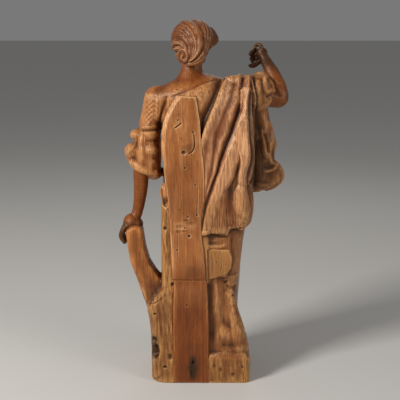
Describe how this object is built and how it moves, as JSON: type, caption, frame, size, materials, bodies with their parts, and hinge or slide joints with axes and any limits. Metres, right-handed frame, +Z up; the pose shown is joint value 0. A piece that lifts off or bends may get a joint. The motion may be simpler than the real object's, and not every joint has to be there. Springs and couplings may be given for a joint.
{
  "type": "carved wooden statue of a saint",
  "caption": "Standing carved wooden saint in a mantle and puffed sleeves, one arm raised, on a low base, its hewn flat back mended with let-in planks.",
  "frame": {"origin": "centre of the base's underside, on the surface that the statue stands on", "axes": "+Z up along the figure's height, +Y the way the figure faces, -Y its flat hewn back, +X its raised right arm"},
  "size_m": [0.5139, 0.2539, 1.1014],
  "materials": {
    "carved_wood": "old walnut, waxed, with worm holes and worn lighter patches",
    "upper_plank_wood": "hewn orange-brown softwood, waxed",
    "lower_plank_wood": "smooth red-brown wood, waxed, with a burned slot",
    "repair_wood": "pale newer wood, thinly waxed"
  },
  "bodies": {
    "root": {"figure": "carved_wood", "upper_back_plank": "upper_plank_wood", "lower_back_plank": "lower_plank_wood", "repair_piece": "repair_wood"}
  },
  "joints": []
}
